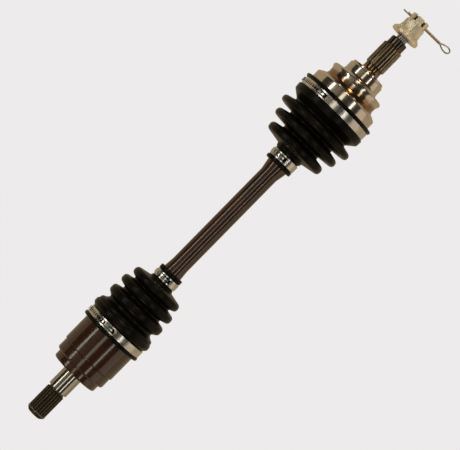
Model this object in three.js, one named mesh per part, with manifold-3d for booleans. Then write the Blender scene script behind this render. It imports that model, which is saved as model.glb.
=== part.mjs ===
// CV axle: a plunging inner joint and a fixed outer joint on one bar, with their boots and clamps.
// Millimetres. +X runs along the axle from the flat end of the inner stub to the wheel end.
import * as THREE from 'three';
import { mergeVertices } from 'three/addons/utils/BufferGeometryUtils.js';
import Module from 'manifold-3d';

const wasm = await Module();
wasm.setup();

// ---- Driving dimensions ----

const SIDES = 24; // sides of every turned piece
const GAP = 0.3; // clearance between pieces that touch
const SPHERE_GAP = 0.35; // clearance between the spherical faces in a joint

// Inner stub
const STUB_SPLINE_LENGTH = 33.6;
const STUB_SPLINE_RADIUS = 11.1;
const STUB_RELIEF_LENGTH = 1.6;
const STUB_RELIEF_RADIUS = 9.6;
const JOURNAL_LENGTH = 24.8;
const JOURNAL_RADIUS = 11.75;
const STUB_CIRCLIP_X = 4.3;
const STUB_CIRCLIP_GROOVE_RADIUS = 9.4;
const STUB_CIRCLIP_RADIUS = 11.5;
const CIRCLIP_THICKNESS = 1.2;
const CIRCLIP_MOUTH = 24; // degrees left open
const RING_GROOVE_DEPTH = 1.1;
const RING_HEIGHT = 3;

// Inner housing
const BACK_DISC_LENGTH = 8.3;
const BACK_DISC_RADIUS = 27.9;
const BACK_RING_LENGTH = 13.8;
const BACK_RING_RADIUS = 31.6;
const BARREL_LENGTH = 45.4;
const BARREL_WALL = 3.56; // left outside the ball tracks
const CAVITY_FLOOR_THICKNESS = 13.5;
const INNER_BORE_RADIUS = 25.4;
const INNER_MOUTH_RADIUS = 29;
const INNER_MOUTH_CHAMFER_LENGTH = 7.5;
const STOPPER_WIRE_RADIUS = 1;
const STOPPER_RADIUS = 27.3;
const STOPPER_FROM_MOUTH = 3;

// Inner joint
const INNER_JOINT_FROM_MOUTH = 26.5;
const INNER_BALL_RADIUS = 7.14;
const INNER_PITCH_RADIUS = 21.4;
const INNER_TRACK_SLACK = 0.8;
const INNER_RACE_RADIUS = 20.2;
const INNER_RACE_HALF_WIDTH = 11;
const INNER_CAGE_HALF_WIDTH = 11.5;
const INNER_BAR_OVERHANG = 13.5;
const INNER_BAR_SPLINE_RADIUS = 10.2;

// Axle bar
const JOINT_SPACING = 355;
const BAR_RADIUS = 10.4;
const BAR_TAPER_LENGTH = 10;
const INNER_SEAT_RADIUS = 11.3;
const OUTER_SEAT_RADIUS = 12.6;

// Outer joint
const OUTER_BALL_RADIUS = 7.94;
const OUTER_PITCH_RADIUS = 27.5;
const OUTER_TRACK_SLACK = 1.6;
const OUTER_TRACK_END_ANGLE = 23; // degrees past the joint's middle plane
const OUTER_RACE_RADIUS = 24.8;
const OUTER_RACE_HALF_WIDTH = 11;
const OUTER_CAGE_HALF_WIDTH = 13;
const OUTER_CAGE_WALL = 4.5;
const OUTER_BAR_OVERHANG = 15;
const OUTER_BAR_SPLINE_RADIUS = 9.6;
const BALL_COUNT = 6;

// Outer housing
const BELL_MOUTH_TO_JOINT = 14;
const BELL_MOUTH_RADIUS = 32;
const BELL_WALL = 3.26; // left outside the ball tracks
const BELL_LENGTH = 26.6;
const BELL_CHAMFER_LENGTH = 3.4;
const BELL_SHOULDER_RADIUS = 36;
const WAIST_LENGTH = 8.6;
const WAIST_RADIUS = 31.2;
const FLARE_LENGTH = 10;
const FLARE_RADIUS = 33.5;
const COLLAR_RADIUS = 22.2;
const COLLAR_LENGTH = 11.2;
const COLLAR_FILLET_LENGTH = 2.4;
const COLLAR_FILLET = 1.8;
const COLLAR_LIP_RADIUS = 20.6;
const COLLAR_LIP_LENGTH = 2.2;
const NECK_LENGTH = 8.4;
const NECK_RADIUS = 10.2;
const NECK_FILLET = 3;
const HUB_SPLINE_LENGTH = 29.4;
const HUB_SPLINE_RADIUS = 11.8;
const PLAIN_END_LENGTH = 9.4;
const PLAIN_END_RADIUS = 9.9;
const THREAD_RELIEF_LENGTH = 7.8;
const THREAD_RELIEF_RADIUS = 6.3;
const STUD_RADIUS = 8;
const STUD_LENGTH = 24;

// Hub nut and cotter pin
const NUT_LENGTH = 24.7;
const NUT_ACROSS_FLATS = 24;
const NUT_FLANGE_RADIUS = 16.8;
const NUT_FLANGE_THICKNESS = 2.6;
const NUT_CONE_LENGTH = 1.3;
const NUT_HEX_LENGTH = 11.4;
const NUT_CASTLE_RADIUS = 10.9;
const NUT_SLOTS = 6;
const PIN_FROM_NUT_END = 5.2;
const PIN_RADIUS = 1.5;
const PIN_LONG_LEG = 20.6;
const PIN_SHORT_LEG = 15.4;
const PIN_EYE_START = 32.7;
const PIN_EYE_END = 45;
const PIN_EYE_HALF_WIDTH = 2.45;

// Boots: the folds' wall, the wall under each clamp, and how far each lip stands above its seat
const BOOT_WALL = 2.2;
const INNER_BIG_SEAT_WALL = 1.9;
const INNER_BIG_LIP_HEIGHT = 2.4;
const INNER_SMALL_SEAT_WALL = 1.8;
const INNER_SMALL_LIP_HEIGHT = 1.3;
const OUTER_BIG_SEAT_WALL = 2.6;
const OUTER_BIG_LIP_HEIGHT = 2.8;
const OUTER_SHOULDER_HEIGHT = 2.1;
const OUTER_SMALL_SEAT_WALL = 2.2;
const OUTER_SMALL_LIP_HEIGHT = 1.6;
const BIG_CLAMP_THICKNESS = 0.9;
const SMALL_CLAMP_THICKNESS = 0.9;
const INNER_BIG_CLAMP_WIDTH = 8.1;
const INNER_SMALL_CLAMP_WIDTH = 7.9;
const OUTER_BIG_CLAMP_WIDTH = 8.4;
const OUTER_SMALL_CLAMP_WIDTH = 8.6;

const SPLINE_TEETH = 20;
const SPLINE_DEPTH = 1.3;

// ---- Sizes and places along the axle that follow ----

const ROUND = 1 / Math.cos(Math.PI / SIDES); // keeps the flats of a faceted bore at its true radius
const BARREL_RADIUS = INNER_PITCH_RADIUS + INNER_BALL_RADIUS + INNER_TRACK_SLACK + BARREL_WALL;
const BELL_RADIUS = OUTER_PITCH_RADIUS + OUTER_BALL_RADIUS + OUTER_TRACK_SLACK + BELL_WALL;
const INNER_BOOT_BIG_BORE = BARREL_RADIUS + GAP;
const INNER_BOOT_SMALL_BORE = INNER_SEAT_RADIUS + GAP;
const OUTER_BOOT_BIG_BORE = BELL_RADIUS + GAP;
const OUTER_BOOT_SMALL_BORE = OUTER_SEAT_RADIUS + GAP;
const INNER_BOOT_BIG_SEAT_RADIUS = INNER_BOOT_BIG_BORE + INNER_BIG_SEAT_WALL;
const INNER_BOOT_SMALL_SEAT_RADIUS = INNER_BOOT_SMALL_BORE + INNER_SMALL_SEAT_WALL;
const OUTER_BOOT_BIG_SEAT_RADIUS = OUTER_BOOT_BIG_BORE + OUTER_BIG_SEAT_WALL;
const OUTER_BOOT_SMALL_SEAT_RADIUS = OUTER_BOOT_SMALL_BORE + OUTER_SMALL_SEAT_WALL;
const SHOULDER_X = STUB_SPLINE_LENGTH + STUB_RELIEF_LENGTH + JOURNAL_LENGTH;
const DISC_END_X = SHOULDER_X + BACK_DISC_LENGTH;
const BARREL_X = DISC_END_X + BACK_RING_LENGTH;
const INNER_MOUTH_X = BARREL_X + BARREL_LENGTH;
const INNER_X = INNER_MOUTH_X - INNER_JOINT_FROM_MOUTH;
const OUTER_X = INNER_X + JOINT_SPACING;
const BELL_MOUTH_X = OUTER_X - BELL_MOUTH_TO_JOINT;
const BELL_END_X = BELL_MOUTH_X + BELL_LENGTH + BELL_CHAMFER_LENGTH;
const WAIST_X = BELL_MOUTH_X + BELL_LENGTH + WAIST_LENGTH;
const FLARE_END_X = WAIST_X + FLARE_LENGTH;
const COLLAR_X = FLARE_END_X + COLLAR_FILLET_LENGTH;
const COLLAR_END_X = COLLAR_X + COLLAR_LENGTH;
const HUB_FACE_X = COLLAR_END_X + COLLAR_LIP_LENGTH;
const HUB_SPLINE_X = HUB_FACE_X + NECK_LENGTH;
const HUB_SPLINE_END_X = HUB_SPLINE_X + HUB_SPLINE_LENGTH;
const PLAIN_END_X = HUB_SPLINE_END_X + PLAIN_END_LENGTH;
const THREAD_X = PLAIN_END_X + THREAD_RELIEF_LENGTH;
const NUT_X = THREAD_X;
const NUT_END_X = NUT_X + NUT_LENGTH;
const PIN_X = NUT_END_X - PIN_FROM_NUT_END;

// ---- Shape helpers ----

function rad(degrees) {
  return THREE.MathUtils.degToRad(degrees);
}

// Points [x, r] on an arc about (x, r); the angle is measured from +X towards growing radius.
function arc(x, r, radius, from, to, steps) {
  const points = [];
  for (let i = 0; i <= steps; i++) {
    const angle = rad(from + (to - from) * i / steps);
    points.push([x + radius * Math.cos(angle), r + radius * Math.sin(angle)]);
  }
  return points;
}

// A solid of revolution about X, with a flat facet at the top and at the bottom.
// The profile runs so that outer faces go towards +X and bores go back towards -X.
function turned(profile, sides = SIDES) {
  const points = profile.map(([x, r]) => new THREE.Vector2(Math.max(r, 0), x));
  const lathe = new THREE.LatheGeometry(points, sides, Math.PI / sides, Math.PI * 2);
  return lathe.rotateZ(-Math.PI / 2);
}

// A shape drawn in the plane across the axle, extruded towards +X from x for the given length.
function across(shape, x, length) {
  const prism = new THREE.ExtrudeGeometry(shape, { depth: length, bevelEnabled: false, curveSegments: 6 });
  return prism.rotateY(Math.PI / 2).rotateX(Math.PI / 2).translate(x, 0, 0);
}

function ring(inner, outer, x, width) {
  return turned([
    [x, inner * ROUND],
    [x, outer],
    [x + width, outer],
    [x + width, inner * ROUND],
    [x, inner * ROUND],
  ]);
}

// An open ring, as a snap ring is, lying across the axle.
function snapRing(inner, outer, x, thickness) {
  const half = rad(CIRCLIP_MOUTH / 2);
  const steps = 16;
  const shape = new THREE.Shape();
  for (let i = 0; i <= steps; i++) {
    const angle = half + (2 * Math.PI - 2 * half) * i / steps;
    shape[i === 0 ? 'moveTo' : 'lineTo'](outer * Math.cos(angle), outer * Math.sin(angle));
  }
  const span = (2 * Math.PI - 2 * half) / steps;
  for (let i = steps; i >= 0; i--) {
    const angle = half + span * i;
    shape.lineTo(inner / Math.cos(span / 2) * Math.cos(angle), inner / Math.cos(span / 2) * Math.sin(angle));
  }
  shape.closePath();
  return across(shape, x - thickness / 2, thickness);
}

// The toothed section of a spline, `ease` bigger all round where it is a socket.
function splineSection(radius, ease = 0) {
  const shape = new THREE.Shape();
  const pitch = 2 * Math.PI / SPLINE_TEETH;
  const tip = radius + ease;
  const root = radius - SPLINE_DEPTH + ease;
  for (let i = 0; i < SPLINE_TEETH; i++) {
    const corners = [[root, -0.36], [tip, -0.16], [tip, 0.16], [root, 0.36]];
    for (const [r, share] of corners) {
      const angle = pitch * (i + share);
      shape[i === 0 && share === -0.36 ? 'moveTo' : 'lineTo'](r * Math.cos(angle), r * Math.sin(angle));
    }
  }
  shape.closePath();
  return shape;
}

function solid(geometry) {
  const bare = geometry.index ? geometry.clone() : geometry;
  bare.deleteAttribute('normal');
  bare.deleteAttribute('uv');
  const merged = mergeVertices(bare, 1e-4);
  const source = merged.index.array;
  const kept = [];
  for (let i = 0; i < source.length; i += 3) {
    const [a, b, c] = [source[i], source[i + 1], source[i + 2]];
    if (a !== b && b !== c && c !== a) {
      kept.push(a, b, c);
    }
  }
  const mesh = new wasm.Mesh({
    numProp: 3,
    vertProperties: new Float32Array(merged.attributes.position.array),
    triVerts: new Uint32Array(kept),
  });
  return new wasm.Manifold(mesh);
}

function geometryOf(manifold) {
  const mesh = manifold.getMesh();
  const geometry = new THREE.BufferGeometry();
  geometry.setAttribute('position', new THREE.BufferAttribute(new Float32Array(mesh.vertProperties), 3));
  geometry.setIndex(new THREE.BufferAttribute(new Uint32Array(mesh.triVerts), 1));
  geometry.computeVertexNormals();
  return geometry;
}

// One body from a base, pieces added to it and pieces cut from it.
function carve(base, added, cut) {
  let body = solid(base);
  for (const piece of added) {
    body = body.add(solid(piece));
  }
  for (const piece of cut) {
    body = body.subtract(solid(piece));
  }
  return geometryOf(body);
}

// ---- Materials ----

function finish(color, roughness, metalness) {
  return new THREE.MeshStandardMaterial({ color, roughness, metalness });
}

const PAINT = finish(0x4a2620, 0.45, 0.3);
const FORGED = finish(0x6f6a66, 0.42, 0.9);
const BRIGHT = finish(0xb9b9b8, 0.3, 1);
const RUBBER = finish(0x1b1b1d, 0.55, 0);
const ZINC = finish(0xc9b98a, 0.35, 0.9);

const axle = new THREE.Group();

function add(parent, name, geometry, material) {
  const mesh = new THREE.Mesh(geometry, material);
  mesh.name = name;
  parent.add(mesh);
  return mesh;
}

// ---- Ball tracks, balls, races and cages; each joint is drawn about its own centre ----

const innerJoint = new THREE.Group();
innerJoint.position.x = INNER_X;
axle.add(innerJoint);

const outerJoint = new THREE.Group();
outerJoint.position.x = OUTER_X;
axle.add(outerJoint);

// The inner joint's first ball is on +Y and the outer joint's on +Z; the others follow evenly.
function spread(firstDegrees) {
  return Array.from({ length: BALL_COUNT }, (_, i) => firstDegrees + 360 * i / BALL_COUNT);
}
const innerBallAngles = spread(0);
const outerBallAngles = spread(90);

function aroundAxle(geometry, degrees) {
  return geometry.clone().rotateX(rad(degrees));
}

const TRACK_SIDES = 10;
const TRACK_FLAT = 1 / Math.cos(Math.PI / TRACK_SIDES);

function trackSection(radius) {
  const shape = new THREE.Shape();
  for (let i = 0; i < TRACK_SIDES; i++) {
    const angle = 2 * Math.PI * (i + 0.5) / TRACK_SIDES;
    const reach = radius * TRACK_FLAT;
    shape[i === 0 ? 'moveTo' : 'lineTo'](reach * Math.cos(angle), reach * Math.sin(angle));
  }
  shape.closePath();
  return shape;
}

// A bent round bar whose centre line keeps the pitch radius from the joint's centre, on the +Y side.
function curvedTrack(pitch, radius, fromDegrees, toDegrees, steps) {
  class Meridian extends THREE.Curve {
    getPoint(t, target = new THREE.Vector3()) {
      const angle = rad(fromDegrees + (toDegrees - fromDegrees) * t);
      return target.set(pitch * Math.sin(angle), pitch * Math.cos(angle), 0);
    }
  }
  return new THREE.ExtrudeGeometry(trackSection(radius), { steps, extrudePath: new Meridian() });
}

function straightTrack(pitch, radius, fromX, toX) {
  const prism = new THREE.ExtrudeGeometry(trackSection(radius), { depth: toX - fromX, bevelEnabled: false });
  return prism.rotateY(Math.PI / 2).translate(fromX, pitch, 0);
}

function ballShape(radius) {
  return new THREE.SphereGeometry(radius, 10, 7);
}

// A ring with a spherical outside, bored to fit a spline, with a track for each ball.
function raceShape(radius, halfWidth, boreSplineRadius, track, ballAngles) {
  const edge = THREE.MathUtils.radToDeg(Math.asin(halfWidth / radius));
  const bore = boreSplineRadius - SPLINE_DEPTH;
  const profile = [
    [-halfWidth, bore],
    ...arc(0, 0, radius, 90 + edge, 90 - edge, 4),
    [halfWidth, bore],
    [-halfWidth, bore],
  ];
  const socket = across(splineSection(boreSplineRadius, GAP), -halfWidth - 1, 2 * halfWidth + 2);
  const tracks = ballAngles.map((angle) => aroundAxle(track, angle));
  return carve(turned(profile), [], [socket, ...tracks]);
}

// A ring with spherical faces inside and out and a window for each ball.
function cageShape(inner, outer, halfWidth, ballRadius, ballAngles) {
  const outerEdge = THREE.MathUtils.radToDeg(Math.asin(halfWidth / outer));
  const innerEdge = THREE.MathUtils.radToDeg(Math.asin(halfWidth / inner));
  const outside = arc(0, 0, outer, 90 + outerEdge, 90 - outerEdge, 4);
  const inside = acrossFlats(arc(0, 0, inner, 90 - innerEdge, 90 + innerEdge, 4));
  const profile = [...outside, ...inside, outside[0]];
  const width = 2 * (ballRadius + GAP);
  const window = new THREE.BoxGeometry(width, 2 * (outer - inner) + width, width + 2 * GAP);
  window.translate(0, (inner + outer) / 2, 0);
  return carve(turned(profile), [], ballAngles.map((angle) => aroundAxle(window, angle)));
}

function addBalls(joint, prefix, pitch, radius, ballAngles) {
  ballAngles.forEach((angle, i) => {
    const ball = add(joint, `${prefix}_ball_${i + 1}`, ballShape(radius), BRIGHT);
    ball.position.set(0, pitch * Math.cos(rad(angle)), pitch * Math.sin(rad(angle)));
  });
}

const innerTrackRadius = INNER_BALL_RADIUS + INNER_TRACK_SLACK;
const innerRaceTrack = straightTrack(
  INNER_PITCH_RADIUS, innerTrackRadius, -INNER_RACE_HALF_WIDTH - 1, INNER_RACE_HALF_WIDTH + 1,
);
add(innerJoint, 'inner_joint_inner_race', raceShape(
  INNER_RACE_RADIUS, INNER_RACE_HALF_WIDTH, INNER_BAR_SPLINE_RADIUS, innerRaceTrack, innerBallAngles,
), FORGED);
add(innerJoint, 'inner_cage', cageShape(
  INNER_RACE_RADIUS + SPHERE_GAP, INNER_BORE_RADIUS - SPHERE_GAP, INNER_CAGE_HALF_WIDTH, INNER_BALL_RADIUS,
  innerBallAngles,
), FORGED);
addBalls(innerJoint, 'inner', INNER_PITCH_RADIUS, INNER_BALL_RADIUS, innerBallAngles);

const outerCageInner = OUTER_RACE_RADIUS + SPHERE_GAP;
const outerCageOuter = outerCageInner + OUTER_CAGE_WALL;
const outerBoreRadius = outerCageOuter + SPHERE_GAP;
const outerTrackRadius = OUTER_BALL_RADIUS + OUTER_TRACK_SLACK;
const outerRaceTrack = curvedTrack(OUTER_PITCH_RADIUS, outerTrackRadius, -52, 52, 7);
add(outerJoint, 'outer_joint_inner_race', raceShape(
  OUTER_RACE_RADIUS, OUTER_RACE_HALF_WIDTH, OUTER_BAR_SPLINE_RADIUS, outerRaceTrack, outerBallAngles,
), FORGED);
add(outerJoint, 'outer_cage', cageShape(
  outerCageInner, outerCageOuter, OUTER_CAGE_HALF_WIDTH, OUTER_BALL_RADIUS, outerBallAngles,
), FORGED);
addBalls(outerJoint, 'outer', OUTER_PITCH_RADIUS, OUTER_BALL_RADIUS, outerBallAngles);

// ---- Inner housing: splined stub, ground journal, back ring and barrel, one forging ----

const bigClampX = INNER_MOUTH_X - 1 - INNER_BIG_CLAMP_WIDTH;
const cavityFloorX = SHOULDER_X + CAVITY_FLOOR_THICKNESS;
const stubRoot = STUB_SPLINE_RADIUS - SPLINE_DEPTH - 0.1;
const innerHousingProfile = [
  [0, 0],
  [0, stubRoot - 2],
  [2, stubRoot],
  [STUB_CIRCLIP_X - CIRCLIP_THICKNESS / 2 - GAP, stubRoot],
  [STUB_CIRCLIP_X - CIRCLIP_THICKNESS / 2 - GAP, STUB_CIRCLIP_GROOVE_RADIUS - 0.4],
  [STUB_CIRCLIP_X + CIRCLIP_THICKNESS / 2 + GAP, STUB_CIRCLIP_GROOVE_RADIUS - 0.4],
  [STUB_CIRCLIP_X + CIRCLIP_THICKNESS / 2 + GAP, stubRoot],
  [STUB_SPLINE_LENGTH, stubRoot],
  [STUB_SPLINE_LENGTH, STUB_RELIEF_RADIUS],
  [STUB_SPLINE_LENGTH + STUB_RELIEF_LENGTH, STUB_RELIEF_RADIUS],
  [STUB_SPLINE_LENGTH + STUB_RELIEF_LENGTH + 0.8, JOURNAL_RADIUS],
  [SHOULDER_X, JOURNAL_RADIUS],
  [SHOULDER_X, BACK_DISC_RADIUS - 1.5],
  [SHOULDER_X + 1.5, BACK_DISC_RADIUS],
  [DISC_END_X, BACK_DISC_RADIUS],
  [DISC_END_X + 2, BACK_RING_RADIUS],
  [BARREL_X - 1, BACK_RING_RADIUS],
  [BARREL_X, BARREL_RADIUS],
  [INNER_MOUTH_X, BARREL_RADIUS],
  [INNER_MOUTH_X, INNER_MOUTH_RADIUS * ROUND],
  [INNER_MOUTH_X - INNER_MOUTH_CHAMFER_LENGTH, INNER_BORE_RADIUS * ROUND],
  [cavityFloorX, INNER_BORE_RADIUS * ROUND],
  [cavityFloorX, 0],
];
const stubSpline = carve(
  across(splineSection(STUB_SPLINE_RADIUS), 1, STUB_SPLINE_LENGTH - 1),
  [],
  [ring(
    STUB_CIRCLIP_GROOVE_RADIUS - 0.4, STUB_SPLINE_RADIUS + 1,
    STUB_CIRCLIP_X - CIRCLIP_THICKNESS / 2 - GAP, CIRCLIP_THICKNESS + 2 * GAP,
  )],
);
const stubEndCone = turned([
  [-1, STUB_SPLINE_RADIUS - 2.6],
  [-1, STUB_SPLINE_RADIUS + 4],
  [3.2, STUB_SPLINE_RADIUS + 4],
  [3.2, STUB_SPLINE_RADIUS + 0.4],
  [-1, STUB_SPLINE_RADIUS - 2.6],
]);
const stopperX = INNER_MOUTH_X - STOPPER_FROM_MOUTH;
const stopperGroove = ring(
  STOPPER_RADIUS - STOPPER_WIRE_RADIUS - 1, STOPPER_RADIUS + STOPPER_WIRE_RADIUS + GAP + 0.2,
  stopperX - STOPPER_WIRE_RADIUS - GAP, 2 * (STOPPER_WIRE_RADIUS + GAP),
);
const housingTrack = straightTrack(INNER_PITCH_RADIUS, innerTrackRadius, cavityFloorX, INNER_MOUTH_X + 1);
const housingTracks = innerBallAngles.map((angle) => aroundAxle(housingTrack, angle));
add(axle, 'inner_housing', carve(
  turned(innerHousingProfile), [stubSpline], [stubEndCone, stopperGroove, ...housingTracks],
), PAINT);

add(axle, 'stub_circlip', snapRing(
  STUB_CIRCLIP_GROOVE_RADIUS, STUB_CIRCLIP_RADIUS, STUB_CIRCLIP_X, CIRCLIP_THICKNESS,
), BRIGHT);

class StopperLine extends THREE.Curve {
  getPoint(t, target = new THREE.Vector3()) {
    const angle = rad(CIRCLIP_MOUTH / 2 + (360 - CIRCLIP_MOUTH) * t);
    return target.set(0, STOPPER_RADIUS * Math.cos(angle), STOPPER_RADIUS * Math.sin(angle));
  }
}
const wireSection = new THREE.Shape();
wireSection.absarc(0, 0, STOPPER_WIRE_RADIUS, 0, 2 * Math.PI);
add(axle, 'stopper_ring', new THREE.ExtrudeGeometry(wireSection, {
  steps: 20, curveSegments: 3, extrudePath: new StopperLine(),
}), BRIGHT).position.x = stopperX;

// ---- Outer housing: bell, flared ring, collar, splined stub and threaded stud, one forging ----

const boreMouthAngle = 90 + 18;
const bellCavity = arc(OUTER_X, 0, outerBoreRadius * ROUND, 34, boreMouthAngle, 7);
const outerHousingProfile = [
  [bellCavity[0][0], 0],
  ...bellCavity,
  [BELL_MOUTH_X, BELL_MOUTH_RADIUS],
  [BELL_MOUTH_X, BELL_RADIUS],
  [BELL_MOUTH_X + BELL_LENGTH, BELL_RADIUS],
  [BELL_END_X, BELL_SHOULDER_RADIUS],
  [BELL_END_X + (WAIST_X - BELL_END_X) / 2, WAIST_RADIUS + (BELL_SHOULDER_RADIUS - WAIST_RADIUS) * 0.3],
  [WAIST_X, WAIST_RADIUS],
  [WAIST_X + 1.6, WAIST_RADIUS + 0.6],
  [FLARE_END_X - 2, FLARE_RADIUS],
  [FLARE_END_X, FLARE_RADIUS - 1.4],
  [FLARE_END_X, COLLAR_RADIUS + COLLAR_FILLET + 2],
  [COLLAR_X, COLLAR_RADIUS + COLLAR_FILLET / 3],
  [COLLAR_X + 2, COLLAR_RADIUS],
  [COLLAR_END_X - 1.2, COLLAR_RADIUS],
  [COLLAR_END_X, COLLAR_LIP_RADIUS],
  [HUB_FACE_X, COLLAR_LIP_RADIUS],
  [HUB_FACE_X, NECK_RADIUS + NECK_FILLET],
  [HUB_FACE_X + NECK_FILLET / 3, NECK_RADIUS + NECK_FILLET / 3],
  [HUB_FACE_X + NECK_FILLET, NECK_RADIUS],
  [HUB_SPLINE_END_X + 1, NECK_RADIUS],
  [HUB_SPLINE_END_X + 1.4, PLAIN_END_RADIUS],
  [PLAIN_END_X, PLAIN_END_RADIUS],
  [PLAIN_END_X, THREAD_RELIEF_RADIUS],
  [THREAD_X, THREAD_RELIEF_RADIUS],
  [THREAD_X + 1.6, STUD_RADIUS],
  [THREAD_X + STUD_LENGTH - 1.5, STUD_RADIUS],
  [THREAD_X + STUD_LENGTH, STUD_RADIUS - 1.5],
  [THREAD_X + STUD_LENGTH, 0],
];
const bellTrack = curvedTrack(OUTER_PITCH_RADIUS, outerTrackRadius, -62, OUTER_TRACK_END_ANGLE, 7);
const trackEnd = new THREE.SphereGeometry(outerTrackRadius * TRACK_FLAT, TRACK_SIDES, 6);
trackEnd.translate(
  OUTER_PITCH_RADIUS * Math.sin(rad(OUTER_TRACK_END_ANGLE)),
  OUTER_PITCH_RADIUS * Math.cos(rad(OUTER_TRACK_END_ANGLE)),
  0,
);
const bellCuts = outerBallAngles.flatMap((angle) => [
  aroundAxle(bellTrack, angle).translate(OUTER_X, 0, 0),
  aroundAxle(trackEnd, angle).translate(OUTER_X, 0, 0),
]);
const pinHoleRadius = PIN_RADIUS + 0.6;
const pinHole = new THREE.CylinderGeometry(pinHoleRadius * 1.1, pinHoleRadius * 1.1, 3 * STUD_RADIUS, 8);
pinHole.translate(PIN_X, 0, 0);
const hubSpline = across(splineSection(HUB_SPLINE_RADIUS), HUB_SPLINE_X, HUB_SPLINE_LENGTH);
add(axle, 'outer_housing', carve(
  turned(outerHousingProfile), [hubSpline], [...bellCuts, pinHole],
), FORGED);

// ---- Hub nut: flange, hexagon and slotted castle ----

const hexRadius = NUT_ACROSS_FLATS / 2 / Math.cos(Math.PI / 6);
const hexX = NUT_X + NUT_FLANGE_THICKNESS + NUT_CONE_LENGTH;
const hexEndX = hexX + NUT_HEX_LENGTH;
const nutBore = STUD_RADIUS + GAP;
const nutRound = turned([
  [NUT_X + GAP, nutBore * ROUND],
  [NUT_X + GAP, NUT_FLANGE_RADIUS - 0.4],
  [NUT_X + GAP + 0.4, NUT_FLANGE_RADIUS],
  [NUT_X + NUT_FLANGE_THICKNESS, NUT_FLANGE_RADIUS],
  [hexX + 0.6, hexRadius - 1],
  [hexEndX - 1, NUT_CASTLE_RADIUS],
  [NUT_END_X - 0.8, NUT_CASTLE_RADIUS],
  [NUT_END_X, NUT_CASTLE_RADIUS - 0.8],
  [NUT_END_X, nutBore * ROUND],
  [NUT_X + GAP, nutBore * ROUND],
]);
const hexagon = new THREE.Shape();
for (let i = 0; i < 6; i++) {
  const angle = rad(60 * i + 30);
  hexagon[i === 0 ? 'moveTo' : 'lineTo'](hexRadius * Math.cos(angle), hexRadius * Math.sin(angle));
}
hexagon.closePath();
const hexBore = new THREE.Path();
hexBore.absarc(0, 0, nutBore * ROUND + 0.5, 0, 2 * Math.PI, true);
hexagon.holes.push(hexBore);
const slotWidth = 2 * (PIN_RADIUS + 0.7);
const slotFloorX = PIN_X - PIN_RADIUS - 0.9;
const slot = new THREE.BoxGeometry(NUT_END_X - slotFloorX + 1, NUT_CASTLE_RADIUS, slotWidth);
slot.translate((slotFloorX + NUT_END_X + 1) / 2, NUT_CASTLE_RADIUS, 0);
const slots = Array.from({ length: NUT_SLOTS }, (_, i) => aroundAxle(slot, 360 * i / NUT_SLOTS));
add(axle, 'hub_nut', carve(
  nutRound, [across(hexagon, hexX, NUT_HEX_LENGTH)], slots,
), ZINC);

// ---- Cotter pin: one half-round wire, bent back on itself around a pear-shaped eye ----

const pearPeak = Math.sin(Math.PI / 3) ** 3 * Math.cos(Math.PI / 3);
class PinLine extends THREE.Curve {
  getPoint(t, target = new THREE.Vector3()) {
    const longRun = PIN_LONG_LEG + PIN_EYE_START;
    const shortRun = PIN_SHORT_LEG + PIN_EYE_START;
    const eyeLength = PIN_EYE_END - PIN_EYE_START;
    const eyeRun = 2.6 * eyeLength;
    const s = t * (longRun + eyeRun + shortRun);
    const half = GAP / 2;
    if (s <= longRun) {
      return target.set(-half, PIN_LONG_LEG - s, 0);
    }
    if (s >= longRun + eyeRun) {
      return target.set(half, s - longRun - eyeRun - PIN_EYE_START, 0);
    }
    const turn = Math.PI * (s - longRun) / eyeRun;
    const pear = Math.sin(turn) ** 3 * Math.cos(turn) / pearPeak;
    const side = half * Math.cos(turn) + (PIN_EYE_HALF_WIDTH - half) * pear;
    return target.set(-side, -PIN_EYE_START - eyeLength * Math.sin(turn) ** 2, 0);
  }
}
const halfRound = new THREE.Shape();
halfRound.moveTo(-PIN_RADIUS, 0);
halfRound.lineTo(-PIN_RADIUS * 0.6, -PIN_RADIUS * 0.8);
halfRound.lineTo(0, -PIN_RADIUS);
halfRound.lineTo(PIN_RADIUS * 0.6, -PIN_RADIUS * 0.8);
halfRound.lineTo(PIN_RADIUS, 0);
halfRound.closePath();
add(axle, 'cotter_pin', new THREE.ExtrudeGeometry(halfRound, {
  steps: 36, extrudePath: new PinLine(),
}), BRIGHT).position.x = PIN_X;

// ---- Boots ----

// A boot is one closed wall: the outside towards +X, then the inside back.
// Each fold is [x, r]; a crest is drawn with a round top, a valley as a single line.
function bootFolds(folds, crestHalf, crestDrop) {
  return folds.flatMap(([x, r, crest]) => {
    if (!crest) {
      return [[x, r]];
    }
    return [[x - crestHalf, r - crestDrop], [x, r], [x + crestHalf, r - crestDrop]];
  });
}

// The profile of a piece whose flats, and not its corners, lie at the stated radii.
function acrossFlats(profile) {
  return profile.map(([x, r]) => [x, r * ROUND]);
}

function insideOf(folds) {
  return folds.map(([x, r]) => [x, r - BOOT_WALL]).reverse();
}

// Outer boot, placed from the bell's mouth.
const outerBigSeatX = BELL_MOUTH_X + 4.4;
const outerBootBigEndX = outerBigSeatX + OUTER_BIG_CLAMP_WIDTH + 0.6;
const outerSmallSeatX = BELL_MOUTH_X - 71.3;
const outerSmallSeatEndX = outerSmallSeatX + OUTER_SMALL_CLAMP_WIDTH + 1;
const outerFolds = [
  [BELL_MOUTH_X - 49, 37, true],
  [BELL_MOUTH_X - 41.4, 24.6],
  [BELL_MOUTH_X - 33.6, 42.6, true],
  [BELL_MOUTH_X - 25.3, 30],
  [BELL_MOUTH_X - 18.9, 47.4, true],
  [BELL_MOUTH_X - 11.5, 36.2],
];
const outerSmallLip = OUTER_BOOT_SMALL_SEAT_RADIUS + OUTER_SMALL_LIP_HEIGHT;
const outerBigLip = OUTER_BOOT_BIG_SEAT_RADIUS + OUTER_BIG_LIP_HEIGHT;
const outerShoulder = OUTER_BOOT_BIG_SEAT_RADIUS + OUTER_SHOULDER_HEIGHT;
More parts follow.
